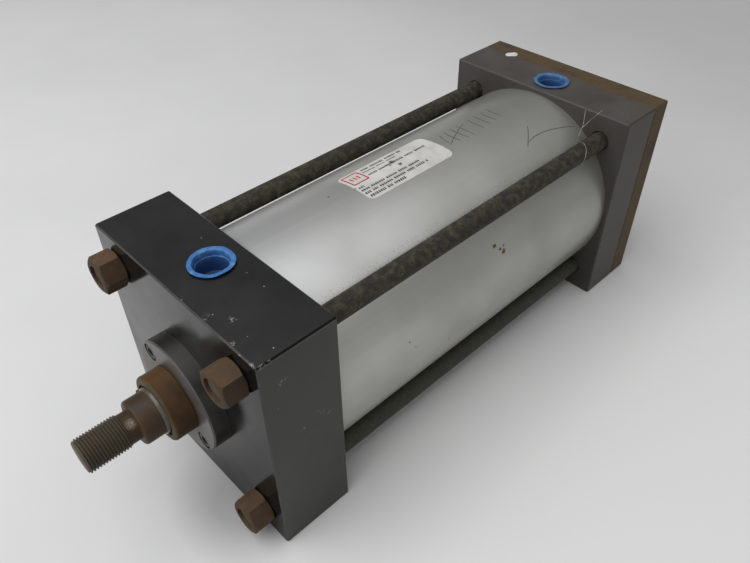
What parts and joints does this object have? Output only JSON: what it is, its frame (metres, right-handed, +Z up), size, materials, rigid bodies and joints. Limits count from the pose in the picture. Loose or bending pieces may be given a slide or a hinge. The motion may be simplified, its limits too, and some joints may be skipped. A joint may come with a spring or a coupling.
{
  "type": "tie-rod hydraulic cylinder",
  "caption": "Square-head tie-rod hydraulic cylinder: black rod-end block, satin barrel, rusty tie rods and rear plate, threaded rod end, blue plastic port plugs.",
  "frame": {"origin": "centre of the rear plate's back face, on the rod's axis", "axes": "+X along the rod, from the rear plate to the rod's thread; +Z up, out of the two oil ports; +Y to the side nearer the camera in the picture"},
  "size_m": [0.3969, 0.1396, 0.1412],
  "materials": {
    "black_coated_steel": "black coating, satin, chipped at the edges",
    "worn_cap_steel": "grey-brown oiled steel, worn",
    "rusty_plate": "thin ochre rust on plain steel, dull",
    "satin_aluminium": "satin, dusty, lightly spotted",
    "rusty_tie_rod": "dark brown rust film, dull",
    "nut_steel": "brown rust film, dull",
    "grey_retainer_steel": "turned grey steel, slightly stained",
    "dark_screw_steel": "black oxide",
    "rusty_gland_iron": "brown rusted iron with a lighter rim",
    "aged_rod_steel": "olive-brown preservative film over ground steel",
    "wiper_polymer": "dark rubber-like polymer, glossy at its lip",
    "seal_rubber": "black, smooth",
    "bearing_bronze": "turned bronze",
    "piston_iron": "machined iron, oiled",
    "wear_ring_polymer": "filled polymer, dull",
    "blue_plastic": "moulded polyethylene, half gloss"
  },
  "bodies": {
    "cylinder": {"rear_plate": "rusty_plate", "cap_end_block": "worn_cap_steel", "rod_end_block": "black_coated_steel", "barrel_tube": "satin_aluminium", "barrel_seal_rear": "seal_rubber", "barrel_seal_front": "seal_rubber", "retainer_plate": "grey_retainer_steel", "retainer_screw_upper": "dark_screw_steel", "retainer_screw_lower": "dark_screw_steel", "gland_body": "rusty_gland_iron", "gland_o_ring": "seal_rubber", "gland_bearing": "bearing_bronze", "rod_seal": "seal_rubber", "rod_wiper": "wiper_polymer", "tie_rod_near_top": "rusty_tie_rod", "tie_rod_nut_near_top": "nut_steel", "tie_rod_near_bottom": "rusty_tie_rod", "tie_rod_nut_near_bottom": "nut_steel", "tie_rod_far_top": "rusty_tie_rod", "tie_rod_nut_far_top": "nut_steel", "tie_rod_far_bottom": "rusty_tie_rod", "tie_rod_nut_far_bottom": "nut_steel"},
    "piston_rings": {"piston_seal_rear": "seal_rubber", "piston_seal_front": "seal_rubber", "piston_wear_ring": "wear_ring_polymer"},
    "rod": {"piston_rod": "aged_rod_steel", "piston": "piston_iron", "piston_nut": "nut_steel", "piston_o_ring": "seal_rubber"},
    "plug_front": {"port_plug_front": "blue_plastic"},
    "plug_rear": {"port_plug_rear": "blue_plastic"}
  },
  "joints": [
    {"name": "rod_stroke", "type": "slide", "parent": "cylinder", "child": "piston_rings", "axis": [1, 0, 0], "range_m": [0, 0.2032]},
    {"name": "rod_turn", "type": "hinge", "parent": "piston_rings", "child": "rod", "pos_m": [0.2, 0, 0], "axis": [1, 0, 0], "continuous": true},
    {"name": "front_plug_pull", "type": "slide", "parent": "cylinder", "child": "plug_front", "axis": [0, 0, 1], "range_m": [0, 0.03]},
    {"name": "rear_plug_pull", "type": "slide", "parent": "cylinder", "child": "plug_rear", "axis": [0, 0, 1], "range_m": [0, 0.03]}
  ]
}
